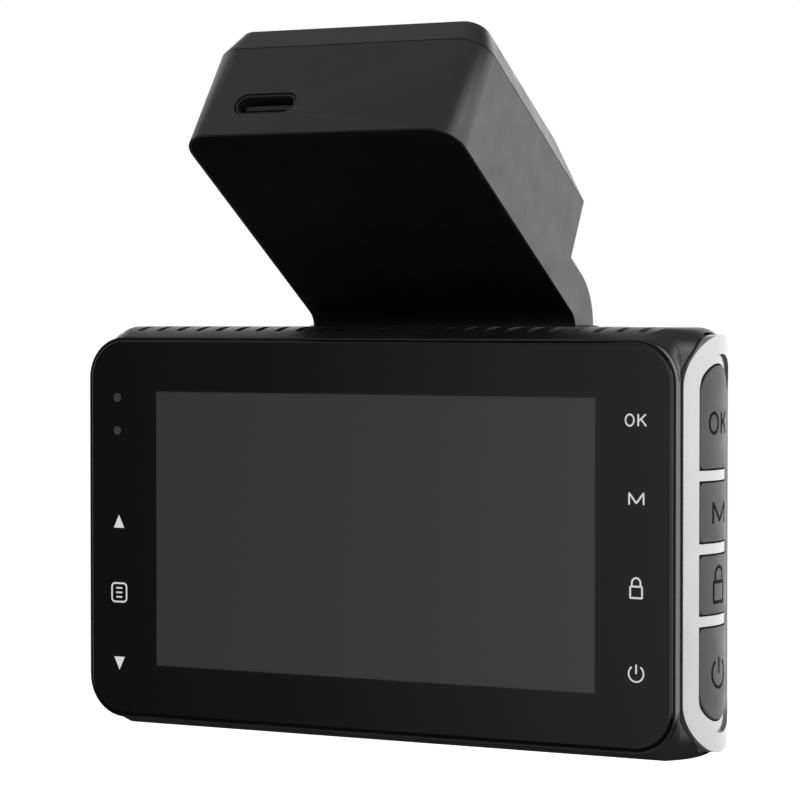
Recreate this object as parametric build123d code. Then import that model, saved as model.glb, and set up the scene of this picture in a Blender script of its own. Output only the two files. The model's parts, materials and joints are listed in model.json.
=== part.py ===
from build123d import *
import math
import os

# A dash camera that hangs from a windscreen plate. Millimetres. Everything is drawn about the centre of
# the screen glass's face, with X to the viewer's right, Y from the screen towards the lens and Z up.
# At the end it is all shifted so that the origin is the centre of the adhesive pad's face.

# Screen: a 3 inch 16:9 display behind a larger cover glass.
GLASS_W = 88.0
GLASS_H = 51.6
GLASS_T = 0.7
GLASS_R = 5.3
GLASS_EDGE = 0.45
PANEL_W = 70.6
PANEL_H = 42.2
PANEL_T = 1.0
BACKLIGHT_T = 1.7
LIGHT_X = -39.6
LIGHT_Z = (17.85, 13.3)
LIGHT_R = 0.6
LIGHT_BACK = 2.4

# A hairline between parts that rest on each other, and a distance beyond the whole object.
HAIRLINE = 0.02
FAR = 50.0

# Bezel: a thin skirt round the glass and a frame that plugs into the housing's mouth.
SKIRT = 0.3
SKIRT_FRONT = 0.25
SKIRT_BACK = 1.24
FRAME_BACK = 3.6
MOUTH_W = 82.0
MOUTH_H = 48.8
MOUTH_BACK = 4.5
MOUTH_FIT = 0.1
GLASS_FIT = 0.08
PANEL_FIT = 0.3

# Case: round ends in plan with eased edges, a convex bevel round the screen side, a round lens side.
CASE_H = 55.14
CASE_BACK = 22.0
END_R = 11.0
END_X = 34.3
MID_Y = CASE_BACK / 2
WALL = 1.6
BEVEL_BACK = 7.0
BEVEL_DROP = 1.47
LENS_SIDE_R = 6.0
SPLIT_Y = 18.2
END_EDGE_R = 3.6
COLLAR_R = 4.3
COLLAR_SPARE = 0.1
CORNER_R = 1.5
VENT_PITCH = 3.17
VENT_COUNT = 25
VENT_W = 1.1
VENT_FRONT = 3.2
VENT_BACK = 15.5

# End trims, each a bevelled stadium that stands proud of the round end, with a recess for the keys.
TRIM_W = 13.3
TRIM_H = 53.3
TRIM_R = 11.3
TRIM_T = 2.3
TRIM_GAP = 0.3
TRIM_BEVEL = 0.9
RECESS_W = 9.8
RECESS_SHIFT = 0.4
RECESS_H = 48.4
RECESS_DEPTH = 0.43
LIP_T = 0.75
LIP_W = 14.6
LIP_H = 36.2
LIP_FIT = 0.05

# Keys: z of lower and upper end, and whether each end is round.
KEY_W = 8.2
KEY_PROUD = 0.07
KEY_EDGE = 0.15
KEY_GAP_Y = 0.35
KEY_GAP_Z = 0.2
KEY_R = 0.8
KEY_FLANGE = 0.55
KEY_FLANGE_X = (40.2, 41.2)
RIGHT_KEYS = {
    "ok_button": (9.6, 22.8, False, True),
    "mode_button": (0.3, 7.9, False, False),
    "lock_button": (-8.9, -1.4, False, False),
    "power_button": (-22.5, -10.6, True, False),
}
LEFT_KEYS = {
    "up_button": (-3.3, 4.7, False, False),
    "menu_button": (-13.0, -5.0, False, False),
    "down_button": (-22.7, -14.7, True, False),
}
KEY_BOARD_X = (36.4, 37.2)
SWITCH_T = 0.9
SWITCH_W = 3.4
PLUNGER_T = 0.5
PLUNGER_R = 0.8
KEY_TRAVEL = 0.4
STEM_R = 1.2
STEM_SPARE = 0.05
KEY_BOARD_W = 10.0
KEY_BOARD_LOW = -23.0
RIGHT_BOARD_HIGH = 23.0
LEFT_BOARD_HIGH = 5.4

# Memory card, which goes in through the left trim.
CARD_Y = 9.2
CARD_Z = 14.2
CARD_L = 15.0
CARD_W = 11.0
CARD_T = 0.7
CARD_OUT = 44.6
CARD_GAP = 0.25
CARD_EDGE = 0.4
CARD_MOUTH = (12.2, 1.7)
RIDGE_X = 0.9
RIDGE_T = 0.2
SOCKET_X = (-40.6, -28.0)
SOCKET_TOP = 1.0
SOCKET_WALL = 0.8

# Boards inside the case.
BOARD_W = 71.0
BOARD_H = 39.6
BOARD_Y = (7.0, 8.0)
INNER_FRAME_Y = (4.05, 4.85)
INNER_FRAME = (77.0, 47.0)
FRAME_R = 2.0
FRAME_SLOT = (40.0, 14.0)
FRAME_SLOT_Z = -8.0
BOARD_HOLE_R = 0.95
BOARD_SCREW_R = 0.75
SMALL_SCREW_R = 0.7
SMALL_HEAD_R = 1.4
SMALL_HEAD_T = 0.8
STAND_OFFS = ((-26.0, 17.0), (32.0, 17.0), (-32.0, -17.0), (32.0, -17.0))
CASE_SCREW = (33.0, 22.6)
BOSS_R = 2.2
SCREW_R = 0.9
SCREW_FIT = 0.02
HEAD_R = 1.7
HEAD_T = 1.2
HEAD_FIT = 0.15
SEAT_Y = 20.2
CROSS_W = 1.8
CROSS_T = 0.4
BOSS_FRONT = 5.2
SCREW_FRONT = 7.0

# Speaker and microphone, behind the lens side.
SPEAKER_X = 30.8
SPEAKER_Z = 2.0
SPEAKER_R = 5.8
SPEAKER_Y = (16.4, 19.2)
MAGNET_R = 3.4
MAGNET_Y = 15.0
GRILLE_STEP = 0.75
GRILLE_COUNT = 5
GRILLE_R = 0.4
MIC_R = 2.0
MIC_Y = (18.6, 20.2)
MIC_HOLE_R = 0.6

# Components on the main board: x, z, width, height and thickness.
PROCESSOR = (-19.0, 3.0, 13.0, 13.0, 1.1)
MEMORY = ((-19.0, 14.0, 9.0, 5.5, 0.9), (-19.0, -8.0, 9.0, 5.5, 0.9))
SINK_BASE = (9.15, 10.15)
SINK_TOP = 11.95
FIN_COUNT = 5
FIN_PITCH = 2.7
FIN_T = 0.9
CAPACITOR_R = 4.3
CAPACITOR_X = (12.5, 29.5)
CAPACITOR_Z = -15.1

# Lens, below the hinge.
LENS_Z = -1.0
POD_X = 25.0
POD_LOW = -16.0
POD_Y = 31.0
POD_WALL = 1.6
POD_EDGE = 1.4
POD_LOW_R = 6.0
LENS_BOSS_R = 13.0
LENS_BORE_R = 10.0
LENS_BOSS_Y = 34.5
LENS_RING_Y = 36.3
BARREL_R = 9.5
BARREL_Y = (15.6, 22.0, 34.3)
BARREL_EDGE = 0.5
THREAD_R = 7.0
LENS_FIT = 0.05
RING_T = 0.5
RING_EDGE = 0.8
RING_LAND = 0.7

# Lens elements: radius, back, front, and how far each face bulges.
FRONT_LENS = (8.4, 30.6, 34.9, 0.4, 1.9)
MIDDLE_LENS = (6.4, 25.6, 28.8, 0.8, 0.8)
REAR_LENS = (4.9, 18.2, 20.6, 0.5, 0.7)

# Lens holder, image sensor and their board.
SENSOR_POST = 13.5
SENSOR_POST_R = 1.8
SENSOR_SCREW_BACK = 20.0
EARS = (31.0, 9.0, 3.0)
EARS_Y = (13.0, 15.0)
TOWER = (18.0, 18.0, 1.5)
TOWER_END = 19.0
SENSOR_ROOM = 12.0
SENSOR = (9.0, 7.2)
SENSOR_T = 1.2
SENSOR_BOARD = (22.0, 20.0, 1.0)
SENSOR_BOARD_Y = (11.9, 12.9)

# Hinge: a drum on the neck's foot turns on a pin between two cheeks of the front cover.
HINGE_Y = 23.1
HINGE_Z = 20.5
DRUM_R = 6.0
DRUM_X = 19.2
CRADLE_R = 6.3
CRADLE_WALL = 1.0
CHEEK_X = 20.7
PIN_R = 1.5
PIN_FIT = 0.05
PIN_X = 24.6
WASHER_X = (19.35, 20.55)
WASHER_R = 4.4
TILT_BACK = 40.0
TILT_FRONT = -12.0
SWEEP_FRONT = 0.8
SWEEP_BACK = 0.35
SWEEP_TURN = 1.5
SWEEP_RISE = 18.0

# Mount block, drawn in a sloping frame: u runs down the slope and w out towards the windscreen,
# from the lower edge of the block's upper end face.
SLOPE = 34.4
BLOCK_FOOT = (-14.09, 52.47)
BLOCK_X = 20.36
BLOCK_R = 4.2
BLOCK_EDGE = 0.6
BLOCK_TOP = 14.15
BLOCK_END_TOP = 35.6
BLOCK_END_LOW = 36.7
BLOCK_WALL = 2.0
COVER_T = 1.2
COVER_INSET = 0.45
COVER_FIT = 0.08
COVER_LOW_Z = 27.15
LIP_RING_T = 1.0
LIP_RING_W = (0.5, 2.0)
HOLLOW_TOP = 9.8
HOLLOW_END = 30.5
NECK_START = 31.0
NECK_T = 5.8
NECK_FRONT = 20.45
NECK_BACK = 25.8
NECK_OUTER_R = 8.2
NECK_INNER_R = 2.8
NECK_WAIST_Z = 26.9

# Windscreen plate and its T rail.
PLATE_LOW = 14.25
PLATE_TOP = 18.1
PLATE_TOP_X = 18.45
PLATE_TOP_U = (1.3, 26.9)
PLATE_TOP_R = 2.7
RAIL_U = (3.1, 32.5)
STEM_X = 10.0
STEM_LOW = 12.5
HEAD_X = 12.0
HEAD_LOW = 11.15
RAIL_FIT = 0.15
PAD_INSET = 0.9
PAD_T = 0.8
PAD_FIT = 0.05
PAD_PROUD = 0.2

# USB-C inlet in the block's upper end face.
USB_X = -8.7
USB_W = 4.85
USB_HOLE = (9.3, 3.4)
USB_SHELL = (8.94, 3.16)
USB_MOUTH = (8.34, 2.56)
USB_TONGUE = (6.7, 0.7)
USB_TONGUE_SET = 0.8
USB_DEEP = (0.2, 8.5)
USB_BACK = 0.8
MOUNT_BOARD = ((-16.6, 16.6), (3.4, 29.2))
MOUNT_BOARD_W = (2.2, 3.2)
MOUNT_POST_R = 1.6
ANTENNA_PLATE = ((-3.0, 13.0), (11.0, 24.0))
ANTENNA_PLATE_T = 0.8
ANTENNA_PATCH = ((-1.0, 11.0), (11.5, 23.5))
ANTENNA_PATCH_T = 4.0
MOUNT_SCREWS = ((-15.0, 8.0), (15.0, 8.0), (-15.0, 27.3), (15.0, 27.3))

SLOPE_FRAME = Location((0, BLOCK_FOOT[0], BLOCK_FOOT[1]), (-SLOPE, 0, 0))
PAD_U = sum(PLATE_TOP_U) / 2
PAD_FACE = PLATE_TOP + PAD_PROUD
ORIGIN = (SLOPE_FRAME * Pos(0, PAD_U, PAD_FACE)).position


# ---------------------------------------------------------------- helpers

def along_y(sketch, low, high):
    """Extrudes a sketch of X and Z between two values of Y."""
    return extrude(Plane.XZ.offset(-low) * sketch, high - low, dir=(0, 1, 0))


def along_x(sketch, low, high):
    """Extrudes a sketch of Y and Z between two values of X."""
    return extrude(Plane.YZ.offset(low) * sketch, high - low, dir=(1, 0, 0))


def along_z(sketch, low, high):
    """Extrudes a sketch of X and Y between two values of Z."""
    return extrude(Plane.XY.offset(low) * sketch, high - low, dir=(0, 0, 1))


def block(x, y, z):
    """A box between pairs of limits."""
    return Pos(x[0], y[0], z[0]) * Box(
        x[1] - x[0], y[1] - y[0], z[1] - z[0], align=(Align.MIN, Align.MIN, Align.MIN)
    )


def rod(x, z, radius, low, high):
    """A cylinder along Y."""
    return along_y(Pos(x, z) * Circle(radius), low, high)


def round_end(radius):
    """The right end's vertical cylinder."""
    return Pos(END_X, MID_Y) * Cylinder(radius, CASE_H + 2)


def mirrored(shape):
    """The same shape on the other side of the middle plane."""
    return mirror(shape, Plane.YZ)


def both_sides(shape):
    """A shape and its mirror image, as separate solids."""
    return Compound([*shape.solids(), *mirrored(shape).solids()])


def on_slope(u, w):
    """Y and Z of a point given in the block's sloping frame."""
    point = (SLOPE_FRAME * Pos(0, u, w)).position
    return point.Y, point.Z


def sloped(shape):
    """Places a shape that was drawn in the block's sloping frame."""
    return SLOPE_FRAME * shape


def turned(y, z, degrees):
    """A point near the hinge, turned about the hinge so that its top moves towards the lens side."""
    angle = math.radians(degrees)
    return (
        HINGE_Y + y * math.cos(angle) + z * math.sin(angle),
        HINGE_Z - y * math.sin(angle) + z * math.cos(angle),
    )


# ---------------------------------------------------------------- screen

def screen_glass():
    glass = along_y(RectangleRounded(GLASS_W, GLASS_H, GLASS_R), 0, GLASS_T)
    front = glass.faces().sort_by(Axis.Y)[0]
    return fillet(front.edges(), GLASS_EDGE)


def screen_bezel():
    skirt_w = GLASS_W + 2 * SKIRT
    skirt_h = GLASS_H + 2 * SKIRT
    pocket_back = GLASS_T + HAIRLINE
    skirt = along_y(RectangleRounded(skirt_w, skirt_h, GLASS_R + SKIRT), SKIRT_FRONT, SKIRT_BACK)
    glass_w = GLASS_W + 2 * GLASS_FIT
    glass_h = GLASS_H + 2 * GLASS_FIT
    pocket = along_y(RectangleRounded(glass_w, glass_h, GLASS_R), 0, pocket_back)
    frame = along_y(Rectangle(MOUTH_W - 2 * MOUTH_FIT, MOUTH_H - 2 * MOUTH_FIT), pocket_back, FRAME_BACK)
    window = along_y(Rectangle(PANEL_W + 2 * PANEL_FIT, PANEL_H + 2 * PANEL_FIT), 0, FRAME_BACK)
    bezel = skirt - pocket + frame - window
    for z in LIGHT_Z:
        bezel -= rod(LIGHT_X, z, LIGHT_R + MOUTH_FIT, 0, FRAME_BACK)
    return bezel


def status_lights():
    return Compound([rod(LIGHT_X, z, LIGHT_R, GLASS_T + HAIRLINE, LIGHT_BACK).solid() for z in LIGHT_Z])


def display_panel():
    front = GLASS_T + HAIRLINE
    return along_y(Rectangle(PANEL_W, PANEL_H), front, front + PANEL_T)


def backlight():
    """A tray behind the display."""
    front = GLASS_T + PANEL_T + 2 * HAIRLINE
    return along_y(Rectangle(PANEL_W, PANEL_H), front, front + BACKLIGHT_T)


# ---------------------------------------------------------------- case

def flank_end():
    """X and Y of the place where a flank meets the round end."""
    flank_y = MID_Y - TRIM_W / 2
    return END_X + math.sqrt(END_R ** 2 - (flank_y - MID_Y) ** 2), flank_y


def case_plan():
    """Flat towards the screen, with a short flank that runs from the skirt to each round end."""
    flank_x, flank_y = flank_end()
    skirt_x = GLASS_W / 2 + SKIRT
    peak_x = END_X + END_R
    outline = Polyline((-flank_x, flank_y), (-skirt_x, SKIRT_BACK), (skirt_x, SKIRT_BACK), (flank_x, flank_y))
    outline += ThreePointArc((flank_x, flank_y), (peak_x, MID_Y), (END_X, CASE_BACK))
    outline += Line((END_X, CASE_BACK), (-END_X, CASE_BACK))
    outline += ThreePointArc((-END_X, CASE_BACK), (-peak_x, MID_Y), (-flank_x, flank_y))
    return make_face(outline)


def case_profile(inset):
    """Side view: a convex bevel towards the screen and a quarter round towards the lens."""
    top = CASE_H / 2 - inset
    front = SKIRT_BACK + inset
    back = CASE_BACK - inset
    turn_y = CASE_BACK - LENS_SIDE_R
    turn_z = CASE_H / 2 - LENS_SIDE_R
    bevel_z = CASE_H / 2 - BEVEL_DROP - inset
    half = Line((front, 0), (front, bevel_z))
    half += TangentArc((BEVEL_BACK, top), (front, bevel_z), tangent=(-1, 0))
    half += Line((BEVEL_BACK, top), (turn_y, top))
    half += TangentArc((turn_y, top), (back, turn_z), tangent=(1, 0))
    half += Line((back, turn_z), (back, 0))
    return make_face(half + mirror(half, Plane.XZ))


def end_cap():
    """The right end as a solid of revolution, with a rounded edge above and below."""
    half = CASE_H / 2
    bend_x = END_R - END_EDGE_R
    bend_z = half - END_EDGE_R
    outline = Polyline((0, -half), (bend_x, -half))
    outline += TangentArc((bend_x, -half), (END_R, -bend_z), tangent=(1, 0))
    outline += Line((END_R, -bend_z), (END_R, bend_z))
    outline += TangentArc((END_R, bend_z), (bend_x, half), tangent=(0, 1))
    outline += Polyline((bend_x, half), (0, half), (0, -half))
    return Pos(END_X, MID_Y) * revolve(Plane.XZ * make_face(outline), Axis.Z)


def collar():
    """Runs from the skirt's rounded outline to the outline of the round ends."""
    flank_x, flank_y = flank_end()
    wide = GLASS_W + 2 * SKIRT + COLLAR_SPARE
    high = GLASS_H + 2 * SKIRT + COLLAR_SPARE
    front = Plane.XZ.offset(-SKIRT_BACK) * RectangleRounded(wide, high, GLASS_R + SKIRT)
    back = Plane.XZ.offset(-flank_y) * RectangleRounded(2 * flank_x + COLLAR_SPARE, CASE_H, COLLAR_R)
    return loft([front, back], ruled=True)


def case_outer():
    """Plan and side view meet in mitred corners, eased round the screen and at the round ends."""
    eased = block((-END_X, END_X), (0, CASE_BACK), (-CASE_H / 2, CASE_H / 2)) + collar()
    eased += end_cap()
    eased += mirrored(end_cap())
    return eased & along_z(case_plan(), -FAR, FAR) & along_x(case_profile(0), -FAR, FAR)


def case_hollow():
    """The space inside the case walls, from the mouth's back to the lens side."""
    plan = Pos(0, MID_Y) * SlotOverall(2 * (END_X + END_R - WALL), 2 * (END_R - WALL))
    room = along_z(plan, -CASE_H / 2, CASE_H / 2) & along_x(case_profile(WALL), -FAR, FAR)
    return room & block((-FAR, FAR), (MOUTH_BACK - HAIRLINE, CASE_BACK), (-FAR, FAR))


def neck_sweep():
    """The space that the neck passes through as the camera tilts."""
    front_gap = NECK_FRONT - HINGE_Y - SWEEP_FRONT
    back_gap = NECK_BACK - HINGE_Y + SWEEP_BACK
    front_tilt = TILT_FRONT - SWEEP_TURN
    back_tilt = TILT_BACK + SWEEP_TURN
    fan = Polygon(
        turned(front_gap, 0, front_tilt),
        turned(front_gap, SWEEP_RISE, front_tilt),
        turned(back_gap, SWEEP_RISE, back_tilt),
        turned(back_gap, 0, back_tilt),
        align=None,
    )
    return along_x(fan, -CHEEK_X, CHEEK_X)


def trim_outline(grow):
    """The stadium that a trim fills, in Y and Z."""
    return Pos(MID_Y, 0) * SlotOverall(TRIM_H + 2 * grow, TRIM_W + 2 * grow, rotation=90)


def vents():
    """Slots along the crown, on both sides of the neck and under it."""
    length = VENT_BACK - VENT_FRONT
    slot = Pos(0, (VENT_BACK + VENT_FRONT) / 2) * SlotOverall(length, VENT_W, rotation=90)
    cutter = along_z(slot, CASE_H / 2 - 2 * WALL, CASE_H / 2 + 1)
    first = -(VENT_COUNT - 1) / 2
    return [Pos((first + step) * VENT_PITCH, 0, 0) * cutter for step in range(VENT_COUNT)]


def screw_places():
    return [(sx * CASE_SCREW[0], sz * CASE_SCREW[1]) for sx in (-1, 1) for sz in (-1, 1)]


def main_housing():
    shell = case_outer() & block((-FAR, FAR), (0, SPLIT_Y), (-FAR, FAR))
    shell -= case_hollow()
    shell -= along_y(Rectangle(MOUTH_W, MOUTH_H), 0, MOUTH_BACK)
    opening = along_x(trim_outline(TRIM_GAP), END_X, FAR) - round_end(TRIM_R - TRIM_T - TRIM_GAP)
    shell -= opening
    shell -= mirrored(opening)
    for x, z in screw_places():
        side = math.copysign(1, z)
        rib = sorted((z, side * (CASE_H / 2 - WALL / 2)))
        shell += rod(x, z, BOSS_R, BOSS_FRONT, SPLIT_Y)
        shell += block((x - BOSS_R, x + BOSS_R), (BOSS_FRONT, SPLIT_Y), rib)
        shell -= rod(x, z, SCREW_R + SCREW_FIT, SCREW_FRONT - SCREW_R, SPLIT_Y)
    for cutter in vents():
        shell -= cutter
    cradle_room = Pos(HINGE_Y, HINGE_Z) * Circle(CRADLE_R + CRADLE_WALL + MOUTH_FIT)
    room_x = CHEEK_X + CRADLE_WALL + MOUTH_FIT
    shell -= along_x(cradle_room, -room_x, room_x)
    return shell - neck_sweep()


def pod():
    """The raised middle of the lens side, with the hinge cheeks above and the lens below."""
    height = CASE_H / 2 - POD_LOW
    face = Pos(0, CASE_H / 2 - height / 2) * Rectangle(2 * POD_X, height)
    face = fillet(face.vertices().sort_by(Axis.Y)[:2], POD_LOW_R)
    face = fillet(face.vertices().sort_by(Axis.Y)[-2:], CORNER_R)
    body = along_y(face, SPLIT_Y, POD_Y)
    outer = body.faces().sort_by(Axis.Y)[-1]
    return fillet(outer.edges(), POD_EDGE)


def front_cover():
    """The lens side of the case, with the hinge cradle, its cheeks and the lens boss."""
    hinge = Pos(HINGE_Y, HINGE_Z)
    cradle_low = HINGE_Z - CRADLE_R - 2 * CRADLE_WALL
    cradle_x = CHEEK_X + CRADLE_WALL
    beside_cradle = case_hollow() - block((-POD_X, POD_X), (0, CASE_BACK), (cradle_low, FAR))
    lens_room = block(
        (-POD_X + POD_WALL, POD_X - POD_WALL),
        (0, POD_Y - POD_WALL),
        (POD_LOW + POD_WALL, cradle_low),
    )
    shell = case_outer() & block((-FAR, FAR), (SPLIT_Y, CASE_BACK), (-FAR, FAR))
    shell += pod()
    shell -= beside_cradle
    shell -= lens_room
    shell += along_x(hinge * Circle(CRADLE_R + CRADLE_WALL), -cradle_x, cradle_x)
    shell += rod(0, LENS_Z, LENS_BOSS_R, POD_Y - POD_WALL / 2, LENS_BOSS_Y)
    shell -= rod(0, LENS_Z, LENS_BORE_R, POD_Y - 2 * POD_WALL, FAR)
    shell -= along_x(hinge * Circle(CRADLE_R), -CHEEK_X, CHEEK_X)
    shell -= neck_sweep()
    shell -= along_x(hinge * Circle(PIN_R + SCREW_FIT), -FAR, FAR)
    for side in (-1, 1):
        shell += rod(side * SENSOR_POST, LENS_Z, SENSOR_POST_R, EARS_Y[1] + MOUTH_FIT, POD_Y - POD_WALL / 2)
        shell -= rod(side * SENSOR_POST, LENS_Z, SMALL_SCREW_R + SCREW_FIT, EARS_Y[1], SENSOR_SCREW_BACK)
    for x, z in screw_places():
        shell += rod(x, z, BOSS_R, SPLIT_Y, CASE_BACK) & case_outer()
        shell -= rod(x, z, SCREW_R + HEAD_FIT, 0, CASE_BACK)
        shell -= rod(x, z, HEAD_R + HEAD_FIT, SEAT_Y, FAR)
    return shell - speaker_grille() - microphone_hole()


def speaker_grille():
    """A hexagonal group of small holes through the lens side."""
    return Compound([
        rod(SPEAKER_X + place.position.X, SPEAKER_Z + place.position.Y, GRILLE_R, SPLIT_Y, FAR).solid()
        for place in HexLocations(GRILLE_STEP, GRILLE_COUNT, GRILLE_COUNT)
    ])


def microphone_hole():
    return rod(-SPEAKER_X, SPEAKER_Z, MIC_HOLE_R, SPLIT_Y, FAR)


def case_screws():
    screws = []
    for x, z in screw_places():
        screw = rod(x, z, HEAD_R, SEAT_Y, SEAT_Y + HEAD_T) + rod(x, z, SCREW_R, SCREW_FRONT, SEAT_Y)
        for wide, high in ((CROSS_W, CROSS_T), (CROSS_T, CROSS_W)):
            screw -= along_y(Pos(x, z) * Rectangle(wide, high), SEAT_Y + HEAD_T / 2, CASE_BACK)
        screws.append(screw.solid())
    return Compound(screws)


# ---------------------------------------------------------------- trims and keys

def key_outline(key, grow_y=0.0, grow_z=0.0):
    """A key's outline in Y and Z. A round end is a half circle."""
    low, high, round_low, round_high = key
    width = KEY_W + 2 * grow_y
    height = high - low + 2 * grow_z
    face = Pos(MID_Y, (low + high) / 2) * Rectangle(width, height)
    for round_it, take in ((round_low, slice(0, 2)), (round_high, slice(-2, None))):
        corners = face.vertices().sort_by(Axis.Y)[take]
        face = fillet(corners, width / 2 - HAIRLINE if round_it else KEY_R)
    return face


def key(spec):
    """A cap with a curved face and eased edge, a flange that stops it in the trim and a stem."""
    low, high = spec[0], spec[1]
    cap = along_x(key_outline(spec), KEY_FLANGE_X[0], FAR) & round_end(END_R + KEY_PROUD)
    face = cap.faces().sort_by(Axis.X)[-1]
    cap = fillet(face.edges(), KEY_EDGE)
    flange = along_x(key_outline(spec, KEY_FLANGE, KEY_FLANGE), *KEY_FLANGE_X)
    stem_end = KEY_BOARD_X[1] + SWITCH_T + PLUNGER_T + KEY_TRAVEL + STEM_SPARE
    stem = along_x(Pos(MID_Y, (low + high) / 2) * Circle(STEM_R), stem_end, KEY_FLANGE_X[0])
    return cap + flange + stem


def trim(keys):
    """A silver trim: bevelled rim, recessed floor with a hole for each key, and a lip behind the wall."""
    ring = round_end(TRIM_R) - round_end(TRIM_R - TRIM_T)
    body = ring & along_x(trim_outline(0), END_X, FAR)
    face = body.faces().sort_by(SortBy.AREA)[-1]
    body = chamfer(face.outer_wire().edges(), TRIM_BEVEL)
    recess = Pos(MID_Y + RECESS_SHIFT, 0) * SlotOverall(RECESS_H, RECESS_W, rotation=90)
    body -= along_x(recess, END_X, FAR) - round_end(TRIM_R - RECESS_DEPTH)
    lip_r = END_R - WALL - LIP_FIT
    lip = round_end(lip_r) - round_end(lip_r - LIP_T)
    body += lip & along_x(Pos(MID_Y, 0) * Rectangle(LIP_W, LIP_H), END_X, FAR)
    for spec in keys:
        body -= along_x(key_outline(spec, KEY_GAP_Y, KEY_GAP_Z), END_X, FAR)
    return body


def right_trim():
    return trim(RIGHT_KEYS.values())


def left_trim():
    """The left trim also has the mouth for the memory card."""
    mouth = SlotOverall(*CARD_MOUTH, rotation=90)
    body = trim(LEFT_KEYS.values()) - along_x(Pos(CARD_Y, CARD_Z) * mouth, END_X, FAR)
    return mirrored(body)


def key_board(low, high):
    return along_x(Pos(MID_Y, (low + high) / 2) * Rectangle(KEY_BOARD_W, high - low), *KEY_BOARD_X)


def key_switches(keys):
    """A tact switch with a round plunger behind each key."""
    switches = []
    body_end = KEY_BOARD_X[1] + SWITCH_T
    for low, high, _, _ in keys:
        place = Pos(MID_Y, (low + high) / 2)
        body = along_x(place * Rectangle(SWITCH_W, SWITCH_W), KEY_BOARD_X[1], body_end)
        plunger = along_x(place * Circle(PLUNGER_R), body_end, body_end + PLUNGER_T)
        switches.append((body + plunger).solid())
    return Compound(switches)


# ---------------------------------------------------------------- inside the case

def inner_frame():
    """The plate behind the display, with stand-offs for the main board."""
    plate = along_y(RectangleRounded(*INNER_FRAME, FRAME_R), *INNER_FRAME_Y)
    plate -= along_y(Pos(0, FRAME_SLOT_Z) * RectangleRounded(*FRAME_SLOT, FRAME_R), 0, BOARD_Y[0])
    for x, z in STAND_OFFS:
        plate += rod(x, z, BOSS_R, INNER_FRAME_Y[1], BOARD_Y[0])
        plate -= rod(x, z, BOARD_SCREW_R + SCREW_FIT, 0, BOARD_Y[0])
    return plate


def main_board():
    board = along_y(RectangleRounded(BOARD_W, BOARD_H, CORNER_R), *BOARD_Y)
    for x, z in STAND_OFFS:
        board -= rod(x, z, BOARD_HOLE_R, *BOARD_Y)
    return board


def board_screws():
    screws = []
    for x, z in STAND_OFFS:
        head = rod(x, z, SMALL_HEAD_R, BOARD_Y[1], BOARD_Y[1] + SMALL_HEAD_T)
        screws.append((head + rod(x, z, BOARD_SCREW_R, INNER_FRAME_Y[1], BOARD_Y[1])).solid())
    return Compound(screws)


def on_board(x, z, wide, high, thick):
    """A block-shaped component on the main board's lens side."""
    return along_y(Pos(x, z) * Rectangle(wide, high), BOARD_Y[1], BOARD_Y[1] + thick)


def processor():
    return on_board(*PROCESSOR)


def memory_chips():
    return Compound([on_board(*chip).solid() for chip in MEMORY])


def heat_sink():
    """A finned block on the processor."""
    x, z, wide, high, _ = PROCESSOR
    sink = along_y(Pos(x, z) * Rectangle(wide, high), *SINK_BASE)
    for step in range(FIN_COUNT):
        fin_x = x + (step - (FIN_COUNT - 1) / 2) * FIN_PITCH
        sink += along_y(Pos(fin_x, z) * Rectangle(FIN_T, high), SINK_BASE[1], SINK_TOP)
    return sink


def backup_capacitors():
    """Two storage capacitors that keep the camera alive while it saves its last file."""
    place = Pos(BOARD_Y[1] + CAPACITOR_R + HAIRLINE, CAPACITOR_Z)
    return both_sides(along_x(place * Circle(CAPACITOR_R), *CAPACITOR_X))


def speaker():
    body = rod(SPEAKER_X, SPEAKER_Z, SPEAKER_R, *SPEAKER_Y)
    return body + rod(SPEAKER_X, SPEAKER_Z, MAGNET_R, MAGNET_Y, SPEAKER_Y[0])


def microphone():
    return rod(-SPEAKER_X, SPEAKER_Z, MIC_R, *MIC_Y)


def card_socket():
    """A metal box on the main board, open towards the left trim."""
    pocket_y = (CARD_Y - CARD_T / 2 - CARD_GAP, CARD_Y + CARD_T / 2 + CARD_GAP)
    pocket_z = (CARD_Z - CARD_W / 2 - CARD_GAP, CARD_Z + CARD_W / 2 - CARD_EDGE)
    box_z = (pocket_z[0] - SOCKET_WALL / 2, pocket_z[1] + SOCKET_WALL / 2)
    box = block(SOCKET_X, (BOARD_Y[1] + HAIRLINE, CARD_Y + SOCKET_TOP), box_z)
    return box - block((-FAR, CARD_L - CARD_OUT + CARD_GAP), pocket_y, pocket_z)


def memory_card():
    """A micro card with a ridge for the fingernail."""
    card_y = (CARD_Y - CARD_T / 2, CARD_Y + CARD_T / 2)
    card_z = (CARD_Z - CARD_W / 2, CARD_Z + CARD_W / 2 - 2 * CARD_EDGE)
    card = block((-CARD_OUT, CARD_L - CARD_OUT), card_y, card_z)
    return card + block((-CARD_OUT, RIDGE_X - CARD_OUT), (CARD_Y, card_y[1] + RIDGE_T), card_z)


# ---------------------------------------------------------------- lens

def dome_disc(radius, low, high, bulge_low, bulge_high):
    """A lens element: a disc about the lens axis whose two faces bulge outwards by the given heights."""
    rim_low = low + bulge_low
    rim_high = high - bulge_high
    outline = Line((0, low), (0, high))
    outline += TangentArc((0, high), (radius, rim_high), tangent=(1, 0))
    outline += Line((radius, rim_high), (radius, rim_low))
    outline += TangentArc((0, low), (radius, rim_low), tangent=(1, 0))
    return Pos(0, 0, LENS_Z) * revolve(make_face(outline), Axis.Y)


def front_lens():
    return dome_disc(*FRONT_LENS)


def inner_lenses():
    return Compound([dome_disc(*MIDDLE_LENS).solid(), dome_disc(*REAR_LENS).solid()])


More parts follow.
